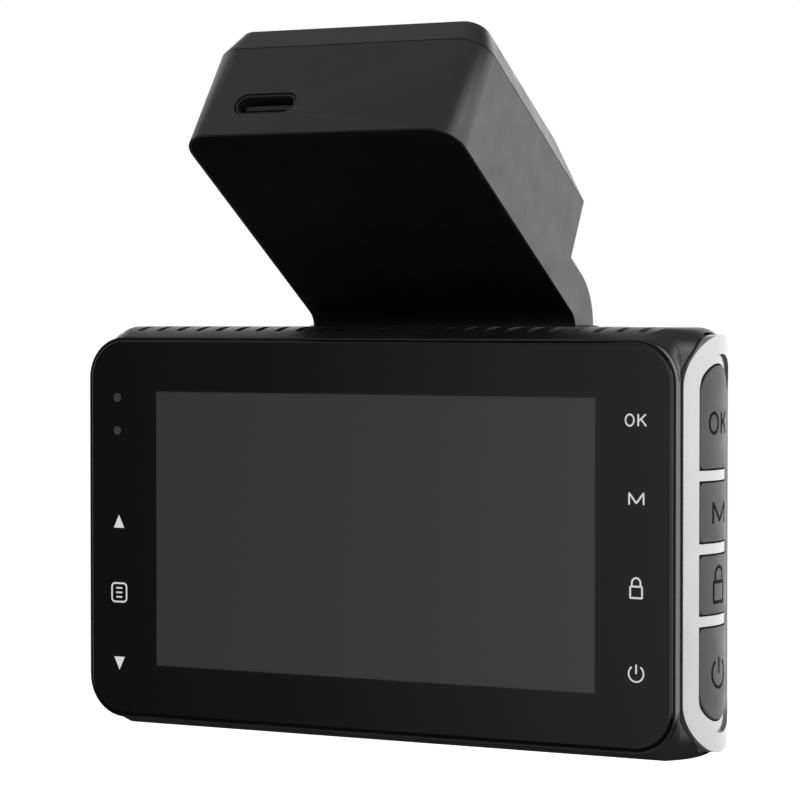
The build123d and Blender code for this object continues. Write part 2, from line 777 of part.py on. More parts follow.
def lens_barrel():
    """A stepped tube: a thin front cup for the front lens and a threaded tail in the holder."""
    back, step, front = BARREL_Y
    barrel = rod(0, LENS_Z, BARREL_R, step, front) + rod(0, LENS_Z, THREAD_R, back, step)
    for radius, low, _, _, _ in (FRONT_LENS, MIDDLE_LENS):
        barrel -= rod(0, LENS_Z, radius + LENS_FIT, low - 4 * LENS_FIT, FAR)
    barrel -= rod(0, LENS_Z, REAR_LENS[0] + LENS_FIT, 0, FAR)
    rim = barrel.faces().sort_by(Axis.Y)[-1]
    return chamfer(rim.edges().sort_by(SortBy.LENGTH)[0], BARREL_EDGE)


def lens_ring():
    """A dished ring that frames the lens on the boss."""
    inner = BARREL_R + RING_T / 2
    bevel = LENS_BOSS_R - RING_EDGE
    outline = Polygon(
        (inner, LENS_BOSS_Y),
        (LENS_BOSS_R, LENS_BOSS_Y),
        (LENS_BOSS_R, LENS_RING_Y - RING_EDGE),
        (bevel, LENS_RING_Y),
        (bevel - RING_LAND, LENS_RING_Y),
        (inner, LENS_BOSS_Y + RING_T),
        align=None,
    )
    return Pos(0, 0, LENS_Z) * revolve(outline, Axis.Y)


def lens_holder():
    """A block over the image sensor with a threaded bore and two ears."""
    axis = Pos(0, LENS_Z)
    holder = along_y(axis * RectangleRounded(*EARS), *EARS_Y)
    holder += along_y(axis * RectangleRounded(*TOWER), EARS_Y[0], TOWER_END)
    holder -= along_y(axis * Rectangle(SENSOR_ROOM, SENSOR_ROOM), EARS_Y[0], EARS_Y[1])
    holder -= rod(0, LENS_Z, THREAD_R + SCREW_FIT, EARS_Y[1], TOWER_END)
    for side in (-1, 1):
        holder -= rod(side * SENSOR_POST, LENS_Z, SCREW_R, *EARS_Y)
    return holder


def sensor_board():
    return along_y(Pos(0, LENS_Z) * RectangleRounded(*SENSOR_BOARD), *SENSOR_BOARD_Y)


def image_sensor():
    back = SENSOR_BOARD_Y[1]
    return along_y(Pos(0, LENS_Z) * Rectangle(*SENSOR), back, back + SENSOR_T)


def sensor_screws():
    head = rod(SENSOR_POST, LENS_Z, SMALL_HEAD_R, EARS_Y[0] - SMALL_HEAD_T, EARS_Y[0])
    return both_sides(head + rod(SENSOR_POST, LENS_Z, SMALL_SCREW_R, EARS_Y[0], SENSOR_SCREW_BACK - SCREW_R))


# ---------------------------------------------------------------- hinge

def hinge_pin():
    return along_x(Pos(HINGE_Y, HINGE_Z) * Circle(PIN_R), -PIN_X, PIN_X)


def hinge_washers():
    ring = Pos(HINGE_Y, HINGE_Z) * (Circle(WASHER_R) - Circle(PIN_R + PIN_FIT))
    return both_sides(along_x(ring, *WASHER_X))


# ---------------------------------------------------------------- mount

def bend(w, y):
    """Where a plane at height w in the sloping frame meets an upright plane at y, in Y and Z."""
    slope = math.radians(SLOPE)
    return on_slope((y - BLOCK_FOOT[0] - w * math.sin(slope)) / math.cos(slope), w)


def round_corner(face, corner, radius):
    """Rounds one corner of a face, given its place."""
    spot = Vector(*corner)
    return fillet([v for v in face.vertices() if (Vector(v.X, v.Y) - spot).length < HAIRLINE], radius)


def neck_outline():
    """The block's end, the bent neck and its foot, in Y and Z."""
    bend_in = bend(0, NECK_FRONT)
    bend_out = bend(NECK_T, NECK_BACK)
    face = Polygon(
        on_slope(NECK_START, 0),
        bend_in,
        (NECK_FRONT, HINGE_Z),
        (NECK_BACK, HINGE_Z),
        bend_out,
        on_slope(BLOCK_END_LOW, NECK_T),
        on_slope(NECK_START, NECK_T),
        align=None,
    )
    face = round_corner(face, bend_in, NECK_INNER_R)
    return round_corner(face, bend_out, NECK_OUTER_R)


def casing_block():
    """The block in its sloping frame, rounded at its upper end and crisper at its sloping lower end."""
    side = Polygon(
        (0, 0),
        (0, BLOCK_TOP),
        (BLOCK_END_TOP, BLOCK_TOP),
        (BLOCK_END_LOW, NECK_T),
        (BLOCK_END_LOW, 0),
        align=None,
    )
    body = along_x(side, -BLOCK_X, BLOCK_X)
    end = body.faces().sort_by(Axis.Y)[0]
    body = fillet(end.edges().filter_by(Axis.Z), BLOCK_R)
    low_end = body.faces().sort_by(Axis.Y)[-2:]
    uprights = low_end.edges().filter_by(lambda edge: abs(edge.center().X) > BLOCK_X - HAIRLINE)
    return fillet(uprights, BLOCK_EDGE)


def t_slot():
    """The channel in the block's top that holds the plate's rail, open at the lower end."""
    along = (RAIL_U[0] - MOUTH_FIT, FAR)
    stem = block((-STEM_X - RAIL_FIT, STEM_X + RAIL_FIT), along, (STEM_LOW, BLOCK_TOP))
    head_w = (HEAD_LOW - RAIL_FIT, STEM_LOW + RAIL_FIT / 3)
    return stem + block((-HEAD_X - RAIL_FIT, HEAD_X + RAIL_FIT), along, head_w)


def mount_casing():
    """Block, neck and hinge drum in one moulding."""
    hinge = Pos(HINGE_Y, HINGE_Z)
    inner_x = BLOCK_X - BLOCK_WALL
    shell = casing_block() - t_slot()
    shell -= along_y(Pos(USB_X, USB_W) * SlotOverall(*USB_HOLE), 0, 2 * BLOCK_WALL)
    shell -= block((-inner_x, inner_x), (BLOCK_WALL, HOLLOW_END), (0, HOLLOW_TOP))
    casing = sloped(shell) + along_x(neck_outline(), -BLOCK_X, BLOCK_X)
    casing -= cover_panel(COVER_INSET - COVER_FIT, COVER_T)
    for side in (-1, 1):
        beside_drum = sorted((side * DRUM_X, side * FAR))
        casing -= block(beside_drum, (0, FAR), (0, NECK_WAIST_Z))
    casing += along_x(hinge * Circle(DRUM_R), -DRUM_X, DRUM_X)
    return casing - along_x(hinge * Circle(PIN_R + PIN_FIT), -DRUM_X, DRUM_X)


def post(x, u, radius, low, high):
    """A cylinder across the block, in its sloping frame."""
    return along_z(Pos(x, u) * Circle(radius), low, high)


def cover_panel(inset, thick):
    """A layer of the underside, bent down the front of the neck, with rounded corners at its upper end."""
    low_z = COVER_LOW_Z + inset - COVER_INSET
    bend_under = bend(0, NECK_FRONT)
    bend_over = bend(thick, NECK_FRONT + thick)
    face = Polygon(
        on_slope(inset, 0),
        bend_under,
        (NECK_FRONT, low_z),
        (NECK_FRONT + thick, low_z),
        bend_over,
        on_slope(inset, thick),
        align=None,
    )
    face = round_corner(face, bend_under, NECK_INNER_R)
    face = round_corner(face, bend_over, NECK_INNER_R + thick)
    panel = along_x(face, inset - BLOCK_X, BLOCK_X - inset)
    end = panel.faces().sort_by(Axis.Y)[0]
    return fillet(end.edges().sort_by(SortBy.LENGTH)[:2], BLOCK_R - inset)


def mount_cover():
    """The underside panel, let into the casing, with a lip and posts for the board."""
    lip_x = BLOCK_X - BLOCK_WALL - MOUTH_FIT
    lip_u = (BLOCK_WALL + MOUTH_FIT, HOLLOW_END - MOUTH_FIT)
    inside_u = (lip_u[0] + LIP_RING_T, lip_u[1] - LIP_RING_T)
    lip = block((-lip_x, lip_x), lip_u, LIP_RING_W)
    lip -= block((LIP_RING_T - lip_x, lip_x - LIP_RING_T), inside_u, LIP_RING_W)
    panel = cover_panel(COVER_INSET, COVER_T - HAIRLINE) + sloped(lip)
    for x, u in MOUNT_SCREWS:
        panel += sloped(post(x, u, MOUNT_POST_R, COVER_T / 2, MOUNT_BOARD_W[0]))
        panel -= sloped(post(x, u, SMALL_SCREW_R + SCREW_FIT, COVER_T / 2, MOUNT_BOARD_W[0]))
    return panel


def mount_board():
    board = block(*MOUNT_BOARD, MOUNT_BOARD_W)
    for x, u in MOUNT_SCREWS:
        board -= post(x, u, SCREW_R, *MOUNT_BOARD_W)
    return sloped(board)


def mount_board_screws():
    top = MOUNT_BOARD_W[1]
    screws = []
    for x, u in MOUNT_SCREWS:
        screw = post(x, u, SMALL_HEAD_R, top, top + SMALL_HEAD_T)
        screw += post(x, u, SMALL_SCREW_R, COVER_T / 2 + HEAD_FIT, top)
        screws.append(sloped(screw).solid())
    return Compound(screws)


def satellite_antenna():
    """A ceramic patch on its ground plate."""
    plate_w = (MOUNT_BOARD_W[1] + HAIRLINE, MOUNT_BOARD_W[1] + ANTENNA_PLATE_T)
    plate = block(*ANTENNA_PLATE, plate_w)
    return sloped(plate + block(*ANTENNA_PATCH, (plate_w[1], plate_w[1] + ANTENNA_PATCH_T)))


def usb_socket():
    """The metal shell of the inlet, closed at the back."""
    place = Pos(USB_X, USB_W)
    shell = along_y(place * SlotOverall(*USB_SHELL), *USB_DEEP)
    return sloped(shell - along_y(place * SlotOverall(*USB_MOUTH), 0, USB_DEEP[1] - USB_BACK))


def usb_tongue():
    place = Pos(USB_X, USB_W)
    tongue_end = USB_DEEP[1] - USB_BACK - HAIRLINE
    return sloped(along_y(place * Rectangle(*USB_TONGUE), USB_DEEP[0] + USB_TONGUE_SET, tongue_end))


def plate_outline(half_x, along, radius):
    """A rectangle with two large corners at its upper end and two eased ones at its lower end."""
    face = Pos(0, sum(along) / 2) * Rectangle(2 * half_x, along[1] - along[0])
    face = fillet(face.vertices().sort_by(Axis.Y)[:2], radius)
    return fillet(face.vertices().sort_by(Axis.Y)[-2:], BLOCK_EDGE)


def windscreen_plate():
    """A bevelled plate with a ramp at its lower end, a pocket for the pad and a T rail below."""
    low = Pos(0, 0, PLATE_LOW) * plate_outline(BLOCK_X, (0, BLOCK_END_TOP), BLOCK_R)
    high = Pos(0, 0, PLATE_TOP) * plate_outline(PLATE_TOP_X, PLATE_TOP_U, PLATE_TOP_R)
    plate = loft([low, high], ruled=True)
    plate -= along_z(pad_outline(PAD_FIT), PLATE_TOP - PAD_T, FAR)
    plate += block((-STEM_X, STEM_X), RAIL_U, (HEAD_LOW, PLATE_LOW + HAIRLINE))
    return sloped(plate + block((-HEAD_X, HEAD_X), RAIL_U, (HEAD_LOW, STEM_LOW)))


def pad_outline(grow):
    wide = 2 * (PLATE_TOP_X - PAD_INSET + grow)
    long = PLATE_TOP_U[1] - PLATE_TOP_U[0] - 2 * (PAD_INSET - grow)
    return Pos(0, PAD_U) * RectangleRounded(wide, long, PLATE_TOP_R - PAD_INSET + grow)


def adhesive_pad():
    return sloped(along_z(pad_outline(0), PLATE_TOP - PAD_T, PAD_FACE))


# ---------------------------------------------------------------- assembly

def all_nodes():
    nodes = {
        "windscreen_plate": windscreen_plate(),
        "adhesive_pad": adhesive_pad(),
        "mount_casing": mount_casing(),
        "mount_cover": mount_cover(),
        "mount_board": mount_board(),
        "mount_board_screws": mount_board_screws(),
        "satellite_antenna": satellite_antenna(),
        "usb_socket": usb_socket(),
        "usb_tongue": usb_tongue(),
        "hinge_pin": hinge_pin(),
        "hinge_washers": hinge_washers(),
        "main_housing": main_housing(),
        "front_cover": front_cover(),
        "case_screws": case_screws(),
        "screen_bezel": screen_bezel(),
        "screen_glass": screen_glass(),
        "status_lights": status_lights(),
        "display_panel": display_panel(),
        "backlight": backlight(),
        "inner_frame": inner_frame(),
        "main_board": main_board(),
        "board_screws": board_screws(),
        "processor": processor(),
        "memory_chips": memory_chips(),
        "heat_sink": heat_sink(),
        "backup_capacitors": backup_capacitors(),
        "speaker": speaker(),
        "microphone": microphone(),
        "card_socket": card_socket(),
        "memory_card": memory_card(),
        "sensor_board": sensor_board(),
        "image_sensor": image_sensor(),
        "sensor_screws": sensor_screws(),
        "lens_holder": lens_holder(),
        "lens_barrel": lens_barrel(),
        "front_lens": front_lens(),
        "inner_lenses": inner_lenses(),
        "lens_ring": lens_ring(),
        "right_trim": right_trim(),
        "left_trim": left_trim(),
        "right_key_board": key_board(KEY_BOARD_LOW, RIGHT_BOARD_HIGH),
        "left_key_board": mirrored(key_board(KEY_BOARD_LOW, LEFT_BOARD_HIGH)),
        "right_key_switches": key_switches(RIGHT_KEYS.values()),
        "left_key_switches": mirrored(key_switches(LEFT_KEYS.values())),
    }
    for name, spec in RIGHT_KEYS.items():
        nodes[name] = key(spec)
    for name, spec in LEFT_KEYS.items():
        nodes[name] = mirrored(key(spec))
    return nodes


def write_nodes():
    os.makedirs("parts", exist_ok=True)
    to_origin = Pos(-ORIGIN.X, -ORIGIN.Y, -ORIGIN.Z)
    for name, shape in all_nodes().items():
        export_step(to_origin * shape, f"parts/{name}.step")


write_nodes()
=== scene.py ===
import json
import math

import bmesh
import bpy
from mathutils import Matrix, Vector


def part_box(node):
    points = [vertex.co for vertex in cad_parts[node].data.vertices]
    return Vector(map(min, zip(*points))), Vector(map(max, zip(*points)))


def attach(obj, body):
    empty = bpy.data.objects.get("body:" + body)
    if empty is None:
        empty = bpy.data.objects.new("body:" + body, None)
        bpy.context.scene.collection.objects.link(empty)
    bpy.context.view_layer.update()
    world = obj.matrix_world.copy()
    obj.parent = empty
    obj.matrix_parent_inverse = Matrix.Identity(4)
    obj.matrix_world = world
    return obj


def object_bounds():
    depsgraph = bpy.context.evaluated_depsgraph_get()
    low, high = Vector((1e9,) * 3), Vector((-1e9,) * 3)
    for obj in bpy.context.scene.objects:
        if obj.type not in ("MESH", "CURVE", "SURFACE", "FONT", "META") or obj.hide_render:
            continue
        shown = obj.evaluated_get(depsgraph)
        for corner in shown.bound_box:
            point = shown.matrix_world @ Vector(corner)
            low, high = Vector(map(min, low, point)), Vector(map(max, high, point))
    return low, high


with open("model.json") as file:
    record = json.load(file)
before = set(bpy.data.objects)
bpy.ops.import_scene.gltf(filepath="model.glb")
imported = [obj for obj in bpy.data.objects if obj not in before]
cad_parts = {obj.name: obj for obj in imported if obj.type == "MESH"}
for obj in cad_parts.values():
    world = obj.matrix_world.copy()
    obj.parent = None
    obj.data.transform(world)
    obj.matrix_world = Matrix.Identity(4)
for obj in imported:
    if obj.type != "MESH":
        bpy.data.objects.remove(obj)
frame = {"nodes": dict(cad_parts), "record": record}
nodes = frame["nodes"]
cad_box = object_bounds()

MM = 0.001

# The glass: its front face, its middle height and the display's grey area behind it, in metres.
glass_low, glass_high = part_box("screen_glass")
FACE_Y = glass_low.y
MID_Z = (glass_low.z + glass_high.z) / 2
ACTIVE_W = 66.4 * MM
ACTIVE_H = 37.4 * MM
ACTIVE_BLUR = 0.12 * MM
DISPLAY_GREY = 0.039

# How fine the patches of colour, the patches of gloss and the display's columns are, per metre.
PATCH_SCALE = 90
SMEAR_SCALE = 260
CELL_SCALE = 1500

# The round ends of the case, which carry the keys: the axis of each end and the radius of the keys' faces.
END_X = 34.3 * MM
END_Y = FACE_Y + 11.0 * MM
KEY_R = 11.07 * MM

# Signs: the width of a stroke, the longest piece of one, and how thick each kind of sign is, in millimetres.
STROKE = 0.26
STROKE_STEP = 0.15
PRINT_THICK = 0.03
MARK_THICK = 0.07
WINDOW_THICK = 0.02

# How much larger a sign is on its key than on the glass.
KEY_SCALE = 1.8

# How wide each node's sharp edges are rounded, in millimetres, and from which angle an edge is sharp.
EDGES = {
    "windscreen_plate": 0.25,
    "mount_casing": 0.2,
    "mount_cover": 0.12,
    "front_cover": 0.2,
    "lens_ring": 0.1,
}
SHARP = math.radians(28)

# The floor, in metres.
FLOOR_DROP = 0.075
FLOOR_HALF = 0.6

# Soft light from all round: direction, where the lobe starts and ends by cosine, its brightness, and the
# heights between which it fades out towards the sky.
LOBES = (
    ((0.75, 0.64, 0.0), -0.2, 0.6, 1.5, (0.3, 0.6)),
    ((0.17, -0.98, 0.0), 0.7, 1.0, 0.95, (0.9, 1.0)),
    ((-0.2, -0.2, 0.95), 0.3, 1.0, 0.32, (1.0, 1.1)),
    ((-0.9, 0.45, 0.0), 0.55, 1.0, 0.8, (0.5, 0.8)),
)
DIM = 0.06

# The heights between which the light fades out towards the ground.
GROUND = (-0.35, -0.1)

# The softbox: its place and size in metres, and its power in watts.
KEY_LIGHT_PLACE = (0.9, 0.1, 0.5)
KEY_LIGHT_SIZE = (0.5, 0.5)
KEY_LIGHT_WATTS = 1.2

# The camera's place and the point it looks at, in millimetres from the glass's face at its middle.
CAMERA_PLACE = (210.52, -365.42, 29.13)
CAMERA_AIM = (4.94, 0.0, 18.06)
CAMERA_LENS = 144.6


# ---------------------------------------------------------------- helpers

def link_to_scene(obj):
    bpy.context.scene.collection.objects.link(obj)


def add(tree, kind, **settings):
    node = tree.nodes.new(kind)
    for key, value in settings.items():
        setattr(node, key, value)
    return node


def link(tree, source, target):
    tree.links.new(source, target)


def shader_of(made):
    return made.node_tree.nodes["Principled BSDF"]


def object_place(tree):
    return add(tree, "ShaderNodeTexCoord").outputs["Object"]


def noise(tree, place, scale, detail=2.0):
    node = add(tree, "ShaderNodeTexNoise")
    link(tree, place, node.inputs["Vector"])
    node.inputs["Scale"].default_value = scale
    node.inputs["Detail"].default_value = detail
    return node.outputs["Fac"]


def ranged(tree, value, low, high, smooth=False, start=0.0, end=1.0):
    node = add(tree, "ShaderNodeMapRange")
    node.interpolation_type = "SMOOTHSTEP" if smooth else "LINEAR"
    link(tree, value, node.inputs["Value"])
    node.inputs["From Min"].default_value = start
    node.inputs["From Max"].default_value = end
    node.inputs["To Min"].default_value = low
    node.inputs["To Max"].default_value = high
    return node.outputs["Result"]


def math_node(tree, operation, first, second=None):
    node = add(tree, "ShaderNodeMath", operation=operation)
    for socket, value in zip(node.inputs, (first, second)):
        if value is None:
            continue
        if isinstance(value, (int, float)):
            socket.default_value = value
        else:
            link(tree, value, socket)
    return node.outputs["Value"]


def mixed(tree, factor, dark, light):
    """A colour between two, by a factor. Each colour is three numbers or another node's output."""
    node = add(tree, "ShaderNodeMix", data_type="RGBA")
    link(tree, factor, node.inputs["Factor"])
    for socket, value in ((node.inputs[6], dark), (node.inputs[7], light)):
        if isinstance(value, tuple):
            socket.default_value = (*value, 1.0)
        else:
            link(tree, value, socket)
    return node.outputs[2]


def grey(level):
    return (level, level, level * 1.03)


def material(name, colour, roughness, grain=0.25, depth=0.006, vary=0.12, gloss_vary=0.06, **fixed):
    """A finish with patchy colour, patchy gloss and a moulded grain. Grain and depth are in millimetres."""
    made = bpy.data.materials.new(name)
    made.use_nodes = True
    tree = made.node_tree
    shader = shader_of(made)
    place = object_place(tree)
    patches = noise(tree, place, PATCH_SCALE, 4.0)
    dark = tuple(c * (1 - vary) for c in colour)
    light = tuple(min(1.0, c * (1 + vary)) for c in colour)
    link(tree, mixed(tree, patches, dark, light), shader.inputs["Base Color"])
    smears = noise(tree, place, SMEAR_SCALE, 3.0)
    smooth, rough = max(0.02, roughness - gloss_vary), roughness + gloss_vary
    link(tree, ranged(tree, smears, smooth, rough, start=0.3, end=0.7), shader.inputs["Roughness"])
    if depth:
        bump = add(tree, "ShaderNodeBump")
        bump.inputs["Distance"].default_value = depth * MM
        link(tree, noise(tree, place, 1 / (grain * MM)), bump.inputs["Height"])
        link(tree, bump.outputs["Normal"], shader.inputs["Normal"])
    for key, value in fixed.items():
        shader.inputs[key.replace("_", " ")].default_value = value
    return made


# ---------------------------------------------------------------- materials

def within(tree, distance, half):
    """1 where the distance is less than half, 0 beyond, with a slightly soft edge."""
    return ranged(tree, distance, 1.0, 0.0, start=half - ACTIVE_BLUR, end=half + ACTIVE_BLUR)


def cover_glass_material():
    """Polished glass over a black print, with the grey display in its window."""
    made = material("cover_glass", grey(0.003), 0.05, depth=0, gloss_vary=0.015, Specular_IOR_Level=0.55)
    tree = made.node_tree
    colour = shader_of(made).inputs["Base Color"]
    split = add(tree, "ShaderNodeSeparateXYZ")
    link(tree, object_place(tree), split.inputs["Vector"])
    across = math_node(tree, "ABSOLUTE", split.outputs["X"])
    up = math_node(tree, "ABSOLUTE", math_node(tree, "SUBTRACT", split.outputs["Z"], MID_Z))
    in_x = within(tree, across, ACTIVE_W / 2)
    in_z = within(tree, up, ACTIVE_H / 2)
    front = ranged(tree, split.outputs["Y"], 1.0, 0.0, start=FACE_Y + 0.02 * MM, end=FACE_Y + 0.1 * MM)
    window = math_node(tree, "MULTIPLY", math_node(tree, "MULTIPLY", in_x, in_z), front)
    cells = add(tree, "ShaderNodeTexWave", wave_type="BANDS", bands_direction="X")
    link(tree, object_place(tree), cells.inputs["Vector"])
    cells.inputs["Scale"].default_value = CELL_SCALE
    panel = mixed(tree, cells.outputs["Fac"], grey(DISPLAY_GREY * 0.97), grey(DISPLAY_GREY * 1.03))
    black = colour.links[0].from_socket
    link(tree, mixed(tree, window, black, panel), colour)
    return made


def lens_glass_material():
    """Clear glass with a coating that turns its reflection violet and green."""
    made = material("lens_glass", (0.86, 0.9, 0.95), 0.03, depth=0, vary=0.01, gloss_vary=0.01, IOR=1.52)
    shader = shader_of(made)
    shader.inputs["Transmission Weight"].default_value = 1.0
    shader.inputs["Thin Film Thickness"].default_value = 420.0
    shader.inputs["Thin Film IOR"].default_value = 1.38
    return made


def make_materials():
    return {
        "black_case": material("black_case", grey(0.012), 0.36, depth=0.004, Specular_IOR_Level=0.72),
        # The mount's cover: matte, and painted a darker black than the case as painted shade for the
        # underside.
        "cover_matte_painted_shade": material("cover_matte_painted_shade", grey(0.002), 0.5, depth=0.006, Specular_IOR_Level=0.42),
        "black_gloss": material("black_gloss", grey(0.010), 0.16, depth=0.0015, gloss_vary=0.04),
        "cover_glass": cover_glass_material(),
        "display": material("display", grey(0.06), 0.2, depth=0.001),
        "silver_trim": material(
            "silver_trim", (0.5, 0.5, 0.505), 0.27,
            grain=0.12, depth=0.0006, vary=0.02, gloss_vary=0.03, Metallic=0.9,
        ),
        "key_grey": material(
            "key_grey", grey(0.06), 0.42,
            grain=0.15, depth=0.003, vary=0.05, Specular_IOR_Level=0.4,
        ),
        "foam": material("foam", grey(0.02), 0.9, grain=0.35, depth=0.08, vary=0.3),
        "steel": material("steel", (0.62, 0.62, 0.63), 0.28, grain=0.1, depth=0.002, Metallic=1.0),
        "dark_steel": material("dark_steel", grey(0.05), 0.35, depth=0.002, Metallic=0.8),
        "board": material("board", (0.01, 0.07, 0.035), 0.4, grain=0.6, depth=0.01),
        "chip": material("chip", grey(0.02), 0.6, grain=0.12, depth=0.005),
        "ceramic": material("ceramic", (0.66, 0.6, 0.46), 0.6),
        "lamp": material("lamp", grey(0.6), 0.5),
        "silver_tray": material("silver_tray", (0.72, 0.73, 0.74), 0.35, Metallic=1.0),
        "frame_metal": material("frame_metal", (0.5, 0.51, 0.52), 0.38, Metallic=1.0),
        "heat_sink": material("heat_sink", (0.55, 0.55, 0.57), 0.42, Metallic=1.0),
        "sleeve": material("sleeve", (0.02, 0.035, 0.12), 0.3),
        "card": material("card", grey(0.03), 0.45, depth=0.003),
        "sensor": material("sensor", (0.05, 0.07, 0.11), 0.1, depth=0),
        "lens_black": material("lens_black", grey(0.01), 0.5, depth=0.004),
        "lens_glass": lens_glass_material(),
        "lens_ring": material("lens_ring", grey(0.035), 0.25, depth=0.001, Metallic=0.5),
        "print_white": material("print_white", grey(0.8), 0.5, grain=0.1, depth=0.002, vary=0.05),
        "lamp_window": material("lamp_window", grey(0.04), 0.35, depth=0.001),
        "mark_black": material(
            "mark_black", grey(0.004), 0.6,
            grain=0.1, depth=0.002, Specular_IOR_Level=0.1,
        ),
    }


def paint_nodes(materials):
    """Gives each CAD node the finish of its material slot, but the mount's cover gets a darker black, which
    is painted shade for the underside, and the USB socket gets dark steel.
    """
    slots = {part["node"]: part["material_slot"] for part in frame["record"]["subparts"]}
    # The cover's darker black is painted shade for the underside.
    slots["mount_cover"] = "cover_matte_painted_shade"
    slots["usb_socket"] = "dark_steel"
    for name, obj in nodes.items():
        obj.data.materials.clear()
        obj.data.materials.append(materials[slots[name]])


# ---------------------------------------------------------------- signs

def arc(x, z, radius_x, radius_z, start, end, steps=20):
    """Points along part of an ellipse, with angles in degrees from +X."""
    points = []
    for step in range(steps + 1):
        angle = math.radians(start + (end - start) * step / steps)
        points.append((x + radius_x * math.cos(angle), z + radius_z * math.sin(angle)))
    return points


def box_path(x, z, half_x, half_z, radius):
    """Points round a rectangle with rounded corners."""
    points = []
    for side_x, side_z, start in ((1, 1, 0), (-1, 1, 90), (-1, -1, 180), (1, -1, 270)):
        corner_x = x + side_x * (half_x - radius)
        corner_z = z + side_z * (half_z - radius)
        points += arc(corner_x, corner_z, radius, radius, start, start + 90, 5)
    return points


# The signs made of strokes, in millimetres about their middle: each stroke's points, and whether it closes.
STROKE_SIGNS = {
    "ok": [
        (arc(-0.88, 0, 0.58, 0.72, 0, 360, 24)[:-1], True),
        ([(0.3, 0.75), (0.3, -0.75)], False),
        ([(1.35, 0.75), (0.36, -0.1)], False),
        ([(0.68, 0.15), (1.42, -0.75)], False),
    ],
    "mode": [([(-1.0, -0.75), (-1.0, 0.75), (0, -0.55), (1.0, 0.75), (1.0, -0.75)], False)],
    "lock": [
        (box_path(0, -0.55, 0.82, 0.72, 0.08), True),
        ([(-0.6, 0.2), *arc(0, 0.62, 0.6, 0.62, 180, 0, 14), (0.6, 0.2)], False),
    ],
    "power": [
        (arc(0, -0.1, 1.03, 1.03, 125, 415, 30), False),
        ([(0, 1.03), (0, -0.15)], False),
    ],
    "menu": [
        (box_path(0, 0, 1.2, 1.27, 0.5), True),
        *[([(-0.5, z), (0.5, z)], False) for z in (0.62, 0.0, -0.62)],
    ],
}

# The solid signs: their corners, in millimetres about their middle.
SOLID_SIGNS = {
    "up": [(-0.86, -0.9), (0.86, -0.9), (0.0, 0.9)],
    "down": [(-0.86, 0.9), (0.0, -0.9), (0.86, 0.9)],
    "dot": arc(0, 0, 0.6, 0.6, 0, 345, 23),
}

# Signs on the glass: x and z in millimetres about the glass's middle.
GLASS_SIGNS = {
    "ok": (38.89, 15.98),
    "mode": (38.95, 6.09),
    "lock": (38.94, -5.1),
    "power": (38.96, -15.8),
    "up": (-39.36, 0.83),
    "menu": (-39.35, -8.96),
    "down": (-39.32, -18.72),
}

# Signs on the keys, larger than on the glass: the side of the case, then y from the glass's face and z about
# its middle, in millimetres.
KEY_SIGNS = {
    "ok": (1, 11.3, 15.43),
    "mode": (1, 11.3, 3.96),
    "lock": (1, 11.15, -5.12),
    "power": (1, 11.2, -16.3),
    "up": (-1, 11.0, 0.7),
    "menu": (-1, 11.0, -9.0),
    "down": (-1, 11.0, -18.7),
}

# The windows of the two status lights: x and z in millimetres about the glass's middle.
LAMP_WINDOWS = ((-39.6, 17.85), (-39.6, 13.3))


def closer(points, closed):
    """The same path with more points, so that it can follow a curved face."""
    path = points + points[:1] if closed else points
    fine = []
    for (x0, z0), (x1, z1) in zip(path, path[1:]):
        pieces = max(1, math.ceil(math.hypot(x1 - x0, z1 - z0) / STROKE_STEP))
        fine += [(x0 + (x1 - x0) * step / pieces, z0 + (z1 - z0) * step / pieces) for step in range(pieces)]
    return fine if closed else [*fine, path[-1]]


def stroke_mesh(strokes):
    """Round strokes along paths in X and Z, in millimetres."""
    curve = bpy.data.curves.new("strokes", "CURVE")
    curve.dimensions = "3D"
    curve.bevel_depth = STROKE / 2
    curve.bevel_resolution = 1
    curve.use_fill_caps = True
    for corners, closed in strokes:
        points = closer(corners, closed)
        spline = curve.splines.new("POLY")
        spline.points.add(len(points) - 1)
        for point, (x, z) in zip(spline.points, points):
            point.co = (x, 0, z, 1)
        spline.use_cyclic_u = closed
    holder = bpy.data.objects.new("strokes", curve)
    mesh = bpy.data.meshes.new_from_object(holder)
    bpy.data.objects.remove(holder)
    bpy.data.curves.remove(curve)
    return mesh


def plate_mesh(points):
    """A flat plate with the given corners in X and Z, as thick as a stroke, in millimetres."""
    mesh = bpy.data.meshes.new("plate")
    shape = bmesh.new()
    back = [shape.verts.new((x, STROKE / 2, z)) for x, z in points]
    front = [shape.verts.new((x, -STROKE / 2, z)) for x, z in points]
    shape.faces.new(back)
    shape.faces.new(front[::-1])
    for step in range(len(points)):
        after = (step + 1) % len(points)
        shape.faces.new((back[step], front[step], front[after], back[after]))
    bmesh.ops.recalc_face_normals(shape, faces=shape.faces)
    shape.to_mesh(mesh)
    shape.free()
    return mesh


def sign_mesh(sign):
    if sign in SOLID_SIGNS:
        return plate_mesh(SOLID_SIGNS[sign])
    return stroke_mesh(STROKE_SIGNS[sign])


def place_sign(name, sign, thick, spot, finish, body):
    """Makes a sign, flattens it to thick, and moves each of its points to where spot says."""
    mesh = sign_mesh(sign)
    for vertex in mesh.vertices:
        x, y, z = vertex.co
        vertex.co = spot(x * MM, y / STROKE * thick * MM, z * MM)
    mesh.materials.clear()
    mesh.materials.append(finish)
    mesh.name = name
    obj = bpy.data.objects.new(name, mesh)
    link_to_scene(obj)
    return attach(obj, body)


def on_glass(x, z):
    """Where a point of a sign printed on the glass goes, for a sign centred at x and z."""
    return lambda a, depth, b: (x * MM + a, FACE_Y + depth, MID_Z + z * MM + b)


def on_key(side, y, z):
    """Where a point of a sign goes on a key's round face. Signs on the right are read from +X."""
    def spot(a, depth, b):
        along = side * a * KEY_SCALE
        angle = math.asin((y * MM + along + FACE_Y - END_Y) / KEY_R)
        radius = KEY_R - depth
        return (
            side * (END_X + radius * math.cos(angle)),
            END_Y + radius * math.sin(angle),
            MID_Z + z * MM + b * KEY_SCALE,
        )
    return spot


